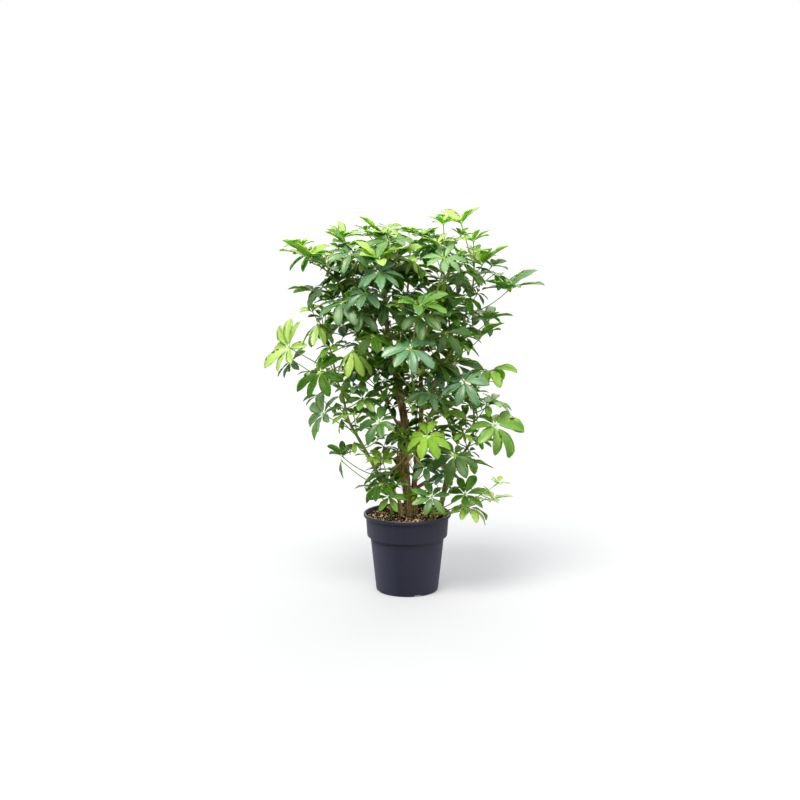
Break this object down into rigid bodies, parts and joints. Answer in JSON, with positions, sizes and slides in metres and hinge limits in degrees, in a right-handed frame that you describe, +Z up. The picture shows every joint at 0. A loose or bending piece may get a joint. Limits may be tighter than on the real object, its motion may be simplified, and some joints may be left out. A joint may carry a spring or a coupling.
{
  "type": "potted umbrella plant",
  "caption": "Bushy umbrella plant with woody stems and palmate leaf whorls, standing in soil in a tapered round nursery pot.",
  "frame": {"origin": "on the floor under the centre of the pot's flat base", "axes": "+Z up along the plant's height; the side seen in the picture faces -Y, with +X to its right"},
  "size_m": [0.7345, 0.5255, 1.0516],
  "materials": {
    "pot_plastic": "satin moulded plastic",
    "potting_soil": "coarse loose peat and coir",
    "bark": "rough bark",
    "foliage": "smooth waxy leaf"
  },
  "bodies": {
    "root": {"pot": "pot_plastic", "soil": "potting_soil", "trunk_main": "bark", "trunk_second": "bark", "trunk_right": "bark", "shoot_left": "foliage", "shoot_upper_left": "foliage", "shoot_crown_left": "foliage", "shoot_crown": "foliage", "shoot_crown_right": "foliage", "shoot_upper_right": "foliage", "shoot_right": "foliage", "shoot_front": "foliage", "shoot_front_low": "foliage", "shoot_base_left": "foliage", "shoot_base_right": "foliage", "shoot_back_left": "foliage", "shoot_back_right": "foliage", "shoot_back": "foliage", "shoot_back_low": "foliage"}
  },
  "joints": []
}
